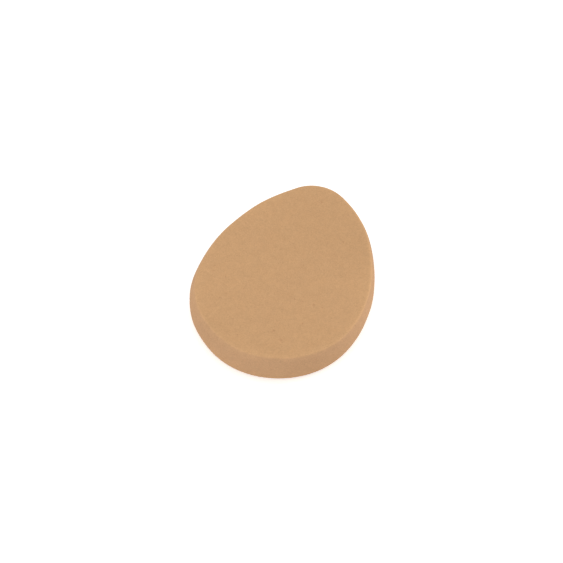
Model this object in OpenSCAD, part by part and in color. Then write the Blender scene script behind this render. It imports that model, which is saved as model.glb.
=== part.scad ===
// Flat egg-shaped make-up sponge: one block of fine-celled foam, cut from sheet and ground at its edges.
// It lies on its lower face. X runs across it, Y from the blunt end to the narrow tip, and Z is its thickness.
// Its outline is a four-arc egg: a half circle, a long flank on each side, and a smaller arc round the tip.
// The block is a loft of that outline, drawn in at each height by as much as the bulging wall falls back there.

/* [Outline] */
// Length from the blunt end to the narrow tip, at the widest height of the wall
sponge_length = 77; // [66:0.5:100]
// Width across the blunt half, at the widest height of the wall
sponge_width = 60; // [46:0.5:72]
// Radius of the outline round the narrow tip
tip_radius = 16; // [8:0.5:22]

/* [Thickness and wall] */
// Thickness from the lower face to the upper face
sponge_thickness = 12; // [8:0.5:20]
// How far the middle of the wall stands out past its two ends
wall_bulge = 1.4; // [0.6:0.1:2.4]
// Radius of the ground edge between the wall and each face
edge_radius = 0.6; // [0.2:0.1:1.6]

/* [Hidden] */

foam_colour = "#c79e73";

// Steps along each arc of the outline, and along each arc of the wall section
blunt_steps = 36;
flank_steps = 14;
tip_steps = 12;
wall_steps = 8;
edge_steps = 3;

// The outline: the blunt half circle and the tip's arc are centred on X = 0, and each flank joins them smoothly
blunt_radius = sponge_width / 2;
blunt_y = blunt_radius - sponge_length / 2;
tip_y = sponge_length / 2 - tip_radius;
tip_reach = tip_y - blunt_y;
flank_radius = (blunt_radius ^ 2 - tip_radius ^ 2 + tip_reach ^ 2) / (2 * (blunt_radius - tip_radius));
flank_shift = flank_radius - blunt_radius;
flank_angle = atan2(tip_reach, flank_shift);

// The wall section: an arc over the whole thickness, with a small ground edge at each end of it
half_thickness = sponge_thickness / 2;
wall_radius = (wall_bulge ^ 2 + half_thickness ^ 2) / (2 * wall_bulge);
wall_angle = asin((half_thickness - edge_radius) / (wall_radius - edge_radius));
edge_inset = wall_radius - (wall_radius - edge_radius) * cos(wall_angle);

// Angles along an arc, up to but not including its end, where the next arc starts
function arc_angles(from, to, steps) = [for (i = [0:steps - 1]) from + (to - from) * i / steps];

// Stations round the outline, anticlockwise: each is the centre and radius of its arc, and its direction from there
function arc_stations(centre, radius, from, to, steps) =
    [for (angle = arc_angles(from, to, steps)) [centre, radius, angle]];

stations = concat(
    arc_stations([0, blunt_y], blunt_radius, -180, 0, blunt_steps),
    arc_stations([-flank_shift, blunt_y], flank_radius, 0, flank_angle, flank_steps),
    arc_stations([0, tip_y], tip_radius, flank_angle, 180 - flank_angle, tip_steps),
    arc_stations([flank_shift, blunt_y], flank_radius, 180 - flank_angle, 180, flank_steps)
);

// Levels up the wall, from the lower face to the upper one: each is an inset from the outline, and a height
function arc_levels(inset, height, radius, from, to, steps) =
    [for (angle = arc_angles(from, to, steps)) [inset - radius * cos(angle), height + radius * sin(angle)]];

levels = concat(
    arc_levels(edge_inset, edge_radius, edge_radius, -90, -wall_angle, edge_steps),
    arc_levels(wall_radius, half_thickness, wall_radius, -wall_angle, wall_angle, wall_steps),
    arc_levels(edge_inset, sponge_thickness - edge_radius, edge_radius, wall_angle, 90, edge_steps),
    [[edge_inset, sponge_thickness]]
);

// The point of the wall at a station and a level
function wall_point(station, level) =
    let (centre = station[0], reach = station[1] - level[0], angle = station[2])
        [centre.x + reach * cos(angle), centre.y + reach * sin(angle), level[1]];

module foam_block() {
    round_count = len(stations);
    top_ring = round_count * (len(levels) - 1);
    points = [for (level = levels, station = stations) wall_point(station, level)];
    lower_face = [for (i = [0:round_count - 1]) i];
    upper_face = [for (i = [round_count - 1:-1:0]) top_ring + i];
    wall_faces = [
        for (ring = [0:round_count:top_ring - round_count], i = [0:round_count - 1])
            let (
                a = ring + i,
                b = ring + (i + 1) % round_count,
                above_a = a + round_count,
                above_b = b + round_count
            )
                each [[a, above_a, above_b], [a, above_b, b]]
    ];
    color(foam_colour)
        polyhedron(points = points, faces = concat([lower_face], wall_faces, [upper_face]));
}

foam_block();
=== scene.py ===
import math
import random

import bmesh
import bpy
from mathutils import Matrix, Vector, kdtree, noise
from mathutils.geometry import intersect_point_line


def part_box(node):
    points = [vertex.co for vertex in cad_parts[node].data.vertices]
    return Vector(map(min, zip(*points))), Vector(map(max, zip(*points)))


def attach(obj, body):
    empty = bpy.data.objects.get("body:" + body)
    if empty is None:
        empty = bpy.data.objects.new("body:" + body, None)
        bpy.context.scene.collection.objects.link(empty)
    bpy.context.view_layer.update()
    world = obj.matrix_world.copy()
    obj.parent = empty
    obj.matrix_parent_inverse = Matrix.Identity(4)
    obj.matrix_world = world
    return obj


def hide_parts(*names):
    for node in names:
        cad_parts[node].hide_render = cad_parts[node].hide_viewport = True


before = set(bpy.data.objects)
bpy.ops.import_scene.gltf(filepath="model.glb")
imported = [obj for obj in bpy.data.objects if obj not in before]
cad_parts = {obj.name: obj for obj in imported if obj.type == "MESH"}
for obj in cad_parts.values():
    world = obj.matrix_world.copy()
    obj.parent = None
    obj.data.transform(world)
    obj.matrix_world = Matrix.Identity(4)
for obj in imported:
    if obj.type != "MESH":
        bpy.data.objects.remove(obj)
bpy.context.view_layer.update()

# The foam block.
# The whole sponge is one piece of fine-celled rubber foam, tan all through. It is sawn from sheet, so both
# faces are flat, and its wall is ground to a soft bulge that leaves a crisp rim round each face. The rims are
# painted paler, partly as wear and partly as a painted highlight, and the wall is painted darker as painted
# shade.

MM = 0.001
low, high = (Vector(corner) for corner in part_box("foam_block"))
thickness = high.z - low.z
blunt_radius = (high.x - low.x) / 2
tip_radius = 14 * MM
wall_bulge = 1.63 * MM
edge_radius = 0.6 * MM
edge_segments = 4

# The egg: a blunt half circle, a flank arc on each side, and the tip's arc, each with its centre
blunt_centre = Vector((0, low.y + blunt_radius, 0))
tip_centre = Vector((0, high.y - tip_radius, 0))
tip_reach = tip_centre.y - blunt_centre.y
flank_radius = (blunt_radius**2 - tip_radius**2 + tip_reach**2) / (2 * (blunt_radius - tip_radius))
flank_shift = Vector((flank_radius - blunt_radius, 0, 0))
flank_angle = math.atan2(tip_reach, flank_shift.x)
egg_arcs = [
    (blunt_centre - flank_shift, flank_radius, flank_angle),
    (tip_centre, tip_radius, math.pi - 2 * flank_angle),
    (blunt_centre + flank_shift, flank_radius, flank_angle),
    (blunt_centre, blunt_radius, math.pi),
]
wall_radius = (wall_bulge**2 + (thickness / 2) ** 2) / (2 * wall_bulge)
wall_half_angle = math.asin(thickness / 2 / wall_radius)
rim_corner = math.pi / 2 + wall_half_angle

# One upright line of the wall is drawn as an arc, and each arc of the egg then sweeps it about its own centre
spacing = 0.8 * MM
block = bmesh.new()
section = [block.verts.new((blunt_radius - wall_bulge, blunt_centre.y, low.z))]
bmesh.ops.spin(
    block,
    geom=section,
    cent=(blunt_radius - wall_radius, blunt_centre.y, low.z + thickness / 2),
    axis=(0, -1, 0),
    angle=2 * wall_half_angle,
    steps=round(thickness / spacing),
)
section = block.verts[:] + block.edges[:]
for centre, radius, angle in egg_arcs:
    steps = round(angle * radius / spacing)
    swept = bmesh.ops.spin(block, geom=section, cent=centre, axis=(0, 0, 1), angle=angle, steps=steps)
    section = swept["geom_last"]
bmesh.ops.remove_doubles(block, verts=block.verts, dist=spacing / 10)
open_rims = [edge for edge in block.edges if edge.is_boundary]
bmesh.ops.holes_fill(block, edges=open_rims, sides=0)
bmesh.ops.recalc_face_normals(block, faces=block.faces)
bmesh.ops.bevel(
    block,
    geom=open_rims,
    offset=edge_radius / math.tan(rim_corner / 2),
    affect="EDGES",
    segments=edge_segments,
    profile=0.5,
    material=-1,
)

# The cut outline isn't a perfect egg: waves run round it, each with its count, its height and where it peaks,
# and its tip lies to the left. The cut leans too, so the upper face lies a little right of the lower one.
outline_waves = [
    (2, 0.15 * MM, math.radians(55)),
    (3, 0.35 * MM, math.radians(53)),
    (4, 0.22 * MM, math.radians(-29)),
    (5, 0.20 * MM, math.radians(-5)),
    (6, 0.11 * MM, math.radians(7)),
    (7, 0.08 * MM, math.radians(11)),
    (8, 0.03 * MM, math.radians(-11)),
]
outline_reach = 34 * MM
tip_skew = -3.1 * MM
skew_start = 10 * MM
cut_lean = Vector((0.93 * MM, 0.28 * MM))
for vertex in block.verts:
    heading = math.atan2(vertex.co.y, vertex.co.x)
    proud = sum(height * math.cos(count * (heading - peak)) for count, height, peak in outline_waves)
    vertex.co.xy *= 1 + proud / outline_reach
    vertex.co.x += tip_skew * max(0, (vertex.co.y - skew_start) / (high.y - skew_start)) ** 2
    vertex.co.xy += cut_lean * ((vertex.co.z - low.z) / thickness - 0.5)
foam_mesh = bpy.data.meshes.new("foam_block_look")
block.to_mesh(foam_mesh)
block.free()
foam = bpy.data.objects.new("foam_block_look", foam_mesh)
bpy.context.scene.collection.objects.link(foam)

# Even small faces all over, which pits can be pressed into
face_size = 0.35 * MM
remesh = foam.modifiers.new("even_faces", "REMESH")
remesh.mode = "VOXEL"
remesh.voxel_size = face_size
remesh.use_smooth_shade = True
evened = foam.evaluated_get(bpy.context.evaluated_depsgraph_get())
foam.data = bpy.data.meshes.new_from_object(evened)
foam.modifiers.clear()

# The saw and the grinder leave both faces and the wall a little uneven, but the face it rests on stays flat
face_swell = 0.10 * MM
swell_size = 14 * MM
wall_wander = 0.12 * MM
wander_size = 9 * MM
wander_offset = Vector((7, 3, 5))
grain_depth = 0.02 * MM
grain_size = 0.9 * MM
underside_rise = -0.5
skin = bmesh.new()
skin.from_mesh(foam.data)
for vertex in skin.verts:
    out = vertex.normal
    slow = noise.noise(vertex.co / swell_size)
    side = noise.noise(vertex.co / wander_size + wander_offset)
    move = grain_depth * noise.noise(vertex.co / grain_size)
    if out.z > underside_rise:
        move += face_swell * slow * max(out.z, 0) + wall_wander * side * (1 - abs(out.z))
    vertex.co += out * move
    vertex.co.z = max(vertex.co.z, low.z)
skin.normal_update()


def vertex_tree(least=0, most=1):
    """The places of the skin's vertices whose normals rise or fall by a share between these two"""
    skin.verts.ensure_lookup_table()
    skin.verts.index_update()
    tree = kdtree.KDTree(len(skin.verts))
    for vertex in skin.verts:
        if least <= abs(vertex.normal.z) <= most:
            tree.insert(vertex.co, vertex.index)
    tree.balance()
    return tree


def on_face(place):
    """A point of the upper face, from its millimetres across and along"""
    return Vector((place[0] * MM, place[1] * MM, high.z))


# The vertices round both rims, taken before the pits are pressed in, whose sides slope like a rim
rim_places = vertex_tree(least=0.35, most=0.9)

# Open cells, pressed in where the cut has caught a larger bubble. The larger ones on the upper face have set
# places, in millimetres, and set radii, and the rest lie anywhere on the skin. The faces there are divided
# first, so that each pit has its own round edge.
random.seed(31)
pit_count = 90
pit_radii = (0.24 * MM, 0.42 * MM)
pit_depth_share = 0.32
large_pits = [
    ((0.4, 30.1), 0.52 * MM),
    ((13.2, 16.3), 0.42 * MM),
    ((4.3, -26.0), 0.54 * MM),
    ((12.1, -20.1), 0.56 * MM),
    ((7.7, -29.0), 0.64 * MM),
    ((-17.1, -19.7), 0.47 * MM),
    ((12.9, -11.6), 0.60 * MM),
]
divided_margin = 0.2 * MM
divided_cuts = 2
tree = vertex_tree()
pits = [(skin.verts[tree.find(on_face(place))[1]], radius) for place, radius in large_pits]
for middle in random.sample(skin.verts[:], pit_count):
    pits.append((middle, random.uniform(*pit_radii)))
pits = [(middle.co.copy(), -middle.normal, radius) for middle, radius in pits]
divided = set()
for middle, inward, radius in pits:
    for place, index, distance in tree.find_range(middle, radius + divided_margin):
        divided.update(skin.verts[index].link_edges)
bmesh.ops.subdivide_edges(skin, edges=list(divided), cuts=divided_cuts, use_grid_fill=True)
tree = vertex_tree()
for middle, inward, radius in pits:
    for place, index, distance in tree.find_range(middle, radius):
        fall = 1 - (distance / radius) ** 2
        skin.verts[index].co += inward * fall * radius * pit_depth_share
skin.normal_update()

# Three values that the finish reads. The first is how far the surface was ground rather than sawn, which
# gives it the wall's grain and a darker colour that is painted shade, darkest just under the upper rim. The
# second is how
# pale it is painted: two scratches are worn pale, both rims are pale partly from wear and partly as a painted
# highlight, and the foot of the wall is painted paler as painted light from the floor. The third is how much
# paler
# the foam is there: the upper face has broad patches, each with its place, its reach and the share by which
# it is paler.
ground = skin.verts.layers.float.new("ground")
wear_and_painted_light = skin.verts.layers.float.new("wear_and_painted_light")
tone = skin.verts.layers.float.new("tone")
rim_fade = 0.7 * MM
# Both rims are painted pale, partly as wear and partly as a painted highlight.
rim_wear_and_highlight = 0.55
rim_band_from, rim_band_full = 0.3, 0.7
# The foot of the wall is painted paler, as painted light thrown up from the floor.
foot_painted_light = 1.0
foot_light_fade = 2.2 * MM
# The wall is painted darker than the faces as painted shade, darkest just under the upper rim.
lower_ground = 0.72
ground_fade = 2.0 * MM
scratches = [((-17.3, -28.5), (-16.0, -23.7)), ((-26.2, -10.4), (-23.1, -11.5))]
scratch_wear = 0.50
scratch_width = 0.35 * MM
tone_patches = [
    ((22, 18), 7 * MM, -0.053),
    ((5, 24), 16 * MM, -0.029),
    ((-32, -19), 16 * MM, 0.034),
    ((35, 0), 12 * MM, 0.046),
    ((-17, -33), 6 * MM, -0.056),
    ((-24, 23), 9 * MM, 0.045),
]


def bell(gap, reach):
    """One at no distance, and fading to nothing beyond the reach"""
    return math.exp(-((gap / reach) ** 2))


for vertex in skin.verts:
    height = vertex.co.z - low.z
    depth = thickness - height
    worked = min(1, max(0, min(height, depth) / edge_radius))
    vertex[ground] = worked * (lower_ground + (1 - lower_ground) * math.exp(-depth / ground_fade))
    flat = min(1, max(0, (abs(vertex.normal.z) - rim_band_from) / (rim_band_full - rim_band_from)))
    # Pale where worn, and also where light is painted: a painted highlight on the rims and painted light at
    # the foot.
    pale_wear_and_light = [
        foot_painted_light * math.exp(-height / foot_light_fade),
        rim_wear_and_highlight * flat * math.exp(-rim_places.find(vertex.co)[2] / rim_fade),
    ]
    for start, end in scratches:
        along = intersect_point_line(vertex.co, on_face(start), on_face(end))[1]
        nearest = on_face(start).lerp(on_face(end), min(1, max(0, along)))
        pale_wear_and_light.append(scratch_wear * bell((vertex.co - nearest).length, scratch_width))
    vertex[wear_and_painted_light] = max(pale_wear_and_light)
    vertex[tone] = sum(
        share * bell((vertex.co - on_face(place)).length, reach) for place, reach, share in tone_patches
    )
skin.to_mesh(foam.data)
skin.free()


def foam_grain():
    """Node group: open cells, fine grit, slow clouds and a drift of tint, each with its own strength"""
    group = bpy.data.node_groups.new("foam_grain", "ShaderNodeTree")
    made = group.interface.new_socket
    for name in ("Cell Scale", "Cell Shade", "Grit", "Mottle", "Tint Drift"):
        made(name, in_out="INPUT", socket_type="NodeSocketFloat")
    made("Color", in_out="INPUT", socket_type="NodeSocketColor")
    made("Color", in_out="OUTPUT", socket_type="NodeSocketColor")
    made("Height", in_out="OUTPUT", socket_type="NodeSocketFloat")
    nodes, links = group.nodes, group.links
    inside = nodes.new("NodeGroupInput").outputs
    outside = nodes.new("NodeGroupOutput").inputs
    place = nodes.new("ShaderNodeTexCoord").outputs["Object"]

    def pattern(scale, **settings):
        """Noise on the foam's own place"""
        node = nodes.new("ShaderNodeTexNoise")
        links.new(place, node.inputs["Vector"])
        node.inputs["Scale"].default_value = scale
        for name, value in settings.items():
            node.inputs[name].default_value = value
        return node.outputs["Fac"]

    def calc(operation, *values):
        """One sum, of numbers or of what other nodes put out"""
        node = nodes.new("ShaderNodeMath")
        node.operation = operation
        for socket, value in zip(node.inputs, values):
            if isinstance(value, (int, float)):
                socket.default_value = value
            else:
                links.new(value, socket)
        return node.outputs["Value"]

    cells = nodes.new("ShaderNodeTexVoronoi")
    links.new(place, cells.inputs["Vector"])
    links.new(inside["Cell Scale"], cells.inputs["Scale"])
    clouds = pattern(scale=320, Detail=5, Roughness=0.62)
    drift = pattern(scale=450, Detail=2)
    grit = pattern(scale=2200, Detail=2)

    # A pore lies at the middle of each cell. The cut has opened some cells wide and others hardly at all. The
    # open pores are painted darker, as painted shade inside them.
    pore_floor, pore_lip = 0.10, 0.48
    pore = nodes.new("ShaderNodeMapRange")
    pore.interpolation_type = "SMOOTHSTEP"
    links.new(cells.outputs["Distance"], pore.inputs["Value"])
    for name, value in {"From Min": pore_floor, "From Max": pore_lip, "To Min": 1, "To Max": 0}.items():
        pore.inputs[name].default_value = value
    chance = nodes.new("ShaderNodeSeparateColor")
    links.new(cells.outputs["Color"], chance.inputs["Color"])
    opened = calc("MULTIPLY", pore.outputs["Result"], calc("POWER", chance.outputs["Red"], 2))

    # The shade stays about 1, and the tint drifts between a warmer and a cooler tan
    noise_middle = 0.5
    shade = calc("MULTIPLY_ADD", calc("SUBTRACT", clouds, noise_middle), inside["Mottle"], 1)
    shade = calc("MULTIPLY_ADD", calc("SUBTRACT", grit, noise_middle), inside["Grit"], shade)
    shade = calc("SUBTRACT", shade, calc("MULTIPLY", opened, inside["Cell Shade"]))
    warm = calc("MULTIPLY", calc("SUBTRACT", drift, noise_middle), inside["Tint Drift"])
    factor = nodes.new("ShaderNodeCombineXYZ")
    for axis, value in zip("XYZ", (calc("ADD", shade, warm), shade, calc("SUBTRACT", shade, warm))):
        links.new(value, factor.inputs[axis])
    tinted = nodes.new("ShaderNodeVectorMath")
    tinted.operation = "MULTIPLY"
    links.new(inside["Color"], tinted.inputs[0])
    links.new(factor.outputs["Vector"], tinted.inputs[1])
    links.new(tinted.outputs["Vector"], outside["Color"])
    links.new(calc("SUBTRACT", 1, opened), outside["Height"])
    return group


def foam_finish():
    """Material: matt tan foam, its faces sawn, its wall ground and painted a shade darker as painted shade,
    pale where it is worn, with a painted highlight along the rims and painted light at the foot of the wall
    """
    face_colour = (0.587, 0.345, 0.1725, 1)
    # The wall's darker colour is painted shade.
    wall_painted_shade_colour = (0.518, 0.304, 0.168, 1)
    # The pale colour serves wear, and also the painted highlight on the rims and the painted light at the
    # foot.
    pale_wear_and_light_colour = (0.665, 0.395, 0.198, 1)
    material = bpy.data.materials.new("tan_foam")
    material.use_nodes = True
    nodes, links = material.node_tree.nodes, material.node_tree.links
    shader = nodes["Principled BSDF"]
    shader.inputs["Roughness"].default_value = 0.95
    shader.inputs["Specular IOR Level"].default_value = 0.15
    grain = foam_grain()

    def cut(colour, **strengths):
        """One cut surface of the foam"""
        node = nodes.new("ShaderNodeGroup")
        node.node_tree = grain
        node.inputs["Color"].default_value = colour
        for name, value in strengths.items():
            node.inputs[name.replace("_", " ").title()].default_value = value
        return node

    def mask(name):
        """A value that the mesh holds at each point"""
        node = nodes.new("ShaderNodeAttribute")
        node.attribute_name = name
        return node.outputs["Fac"]

    def blend(first, second, share):
        """One colour over another"""
        node = nodes.new("ShaderNodeMix")
        node.data_type = "RGBA"
        links.new(share, node.inputs["Factor"])
        links.new(first, node.inputs["A"])
        links.new(second, node.inputs["B"])
        return node.outputs["Result"]

    face = cut(face_colour, cell_scale=2700, cell_shade=0.17, grit=0.31, mottle=0.15, tint_drift=0.03)
    wall = cut(wall_painted_shade_colour, cell_scale=2500, cell_shade=0.20, grit=0.36, mottle=0.20, tint_drift=0.03)
    pale_wear_and_light = cut(pale_wear_and_light_colour, cell_scale=2700, cell_shade=0.17, grit=0.31, mottle=0.15, tint_drift=0.03)
    # The wall takes its darker colour here, as painted shade.
    colour = blend(face.outputs["Color"], wall.outputs["Color"], mask("ground"))
    paler = nodes.new("ShaderNodeMath")
    paler.operation = "ADD"
    paler.inputs[0].default_value = 1
    links.new(mask("tone"), paler.inputs[1])
    toned = nodes.new("ShaderNodeVectorMath")
    toned.operation = "SCALE"
    links.new(colour, toned.inputs["Vector"])
    links.new(paler.outputs["Value"], toned.inputs["Scale"])
    # Pale where worn, and where a highlight on the rims and light at the foot of the wall are painted.
    colour = blend(toned.outputs["Vector"], pale_wear_and_light.outputs["Color"], mask("wear_and_painted_light"))
    links.new(colour, shader.inputs["Base Color"])

    bump = nodes.new("ShaderNodeBump")
    bump.inputs["Strength"].default_value = 0.5
    bump.inputs["Distance"].default_value = 0.06 * MM
    links.new(face.outputs["Height"], bump.inputs["Height"])
    links.new(bump.outputs["Normal"], shader.inputs["Normal"])
    return material


foam.data.materials.clear()
foam.data.materials.append(foam_finish())
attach(foam, "root")
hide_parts("foam_block")

# The floor.
# A plain white paper sweep that the sponge lies on. It isn't part of the object.

floor_reach = 3.0
paper_white = 0.92
paper_glow = 0.42
paper = bmesh.new()
bmesh.ops.create_grid(paper, x_segments=1, y_segments=1, size=floor_reach)
floor_mesh = bpy.data.meshes.new("floor")
paper.to_mesh(floor_mesh)
paper.free()
floor = bpy.data.objects.new("floor", floor_mesh)
bpy.context.scene.collection.objects.link(floor)


def seen_ray(nodes, links):
    """One for a ray from the camera, straight, reflected or through a clear piece, and zero for any other"""
    path = nodes.new("ShaderNodeLightPath")
    total = path.outputs["Is Camera Ray"]
    for kind in ("Is Glossy Ray", "Is Transmission Ray"):
        add = nodes.new("ShaderNodeMath")
        add.operation = "ADD"
        add.use_clamp = True
        links.new(total, add.inputs[0])
        links.new(path.outputs[kind], add.inputs[1])
        total = add.outputs["Value"]
    return total


floor_paint = bpy.data.materials.new("white_paper")
floor_paint.use_nodes = True
nodes, links = floor_paint.node_tree.nodes, floor_paint.node_tree.links
paper_shader = nodes["Principled BSDF"]
paper_shader.inputs["Base Color"].default_value = (paper_white, paper_white, paper_white, 1)
paper_shader.inputs["Roughness"].default_value = 1
paper_shader.inputs["Specular IOR Level"].default_value = 0
paper_shader.inputs["Emission Color"].default_value = (1, 1, 1, 1)
glow = nodes.new("ShaderNodeMath")
glow.operation = "MULTIPLY"
links.new(seen_ray(nodes, links), glow.inputs[0])
glow.inputs[1].default_value = paper_glow
links.new(glow.outputs["Value"], paper_shader.inputs["Emission Strength"])
floor.data.materials.append(floor_paint)

# The camera, as the photograph was taken: from above the blunt end, a little to its right, turned slightly.

view_azimuth = math.radians(20.7)
view_elevation = math.radians(52.6)
view_roll = math.radians(-0.2)
view_distance = 0.70
aim = Vector((-1.92 * MM, -2.12 * MM, thickness / 2))
toward_camera = Vector(
    (
        math.sin(view_azimuth) * math.cos(view_elevation),
        -math.cos(view_azimuth) * math.cos(view_elevation),
        math.sin(view_elevation),
    )
)
camera_data = bpy.data.cameras.new("camera")
camera_data.lens = 134.5
camera_data.sensor_width = 36
camera_data.clip_start = 0.01
camera = bpy.data.objects.new("camera", camera_data)
bpy.context.scene.collection.objects.link(camera)
looking = toward_camera.to_track_quat("Z", "Y").to_matrix().to_4x4()
camera.matrix_world = (
    Matrix.Translation(aim + toward_camera * view_distance) @ looking @ Matrix.Rotation(view_roll, 4, "Z")
)
bpy.context.scene.camera = camera

# The studio: an even white room, a large soft lamp on the right, and a smaller one low down on the left.

world = bpy.data.worlds.new("studio")
world.use_nodes = True
bpy.context.scene.world = world
nodes, links = world.node_tree.nodes, world.node_tree.links
sky = nodes["Background"]
sky.inputs["Color"].default_value = (1, 1, 1, 1)
sky_level = 0.928
level = nodes.new("ShaderNodeMapRange")
links.new(seen_ray(nodes, links), level.inputs["Value"])
level.inputs["To Min"].default_value = sky_level
level.inputs["To Max"].default_value = 1
links.new(level.outputs["Result"], sky.inputs["Strength"])

lamp_distance = 0.9


def soft_lamp(name, azimuth, elevation, width, power):
    """A square soft lamp that faces the sponge. Azimuth 0 is the photograph's near side."""
    turn = math.radians(azimuth) + view_azimuth
    lift = math.radians(elevation)
    toward = Vector((math.sin(turn) * math.cos(lift), -math.cos(turn) * math.cos(lift), math.sin(lift)))
    data = bpy.data.lights.new(name, "AREA")
    data.shape = "SQUARE"
    data.size = width
    data.energy = power
    lamp = bpy.data.objects.new(name, data)
    bpy.context.scene.collection.objects.link(lamp)
    facing = toward.to_track_quat("Z", "Y").to_matrix().to_4x4()
    lamp.matrix_world = Matrix.Translation(toward * lamp_distance) @ facing


soft_lamp("right_lamp", azimuth=108, elevation=11, width=0.5, power=2.7)
soft_lamp("left_lamp", azimuth=-62, elevation=4, width=0.12, power=1.0)

bpy.context.scene.view_settings.view_transform = "Standard"
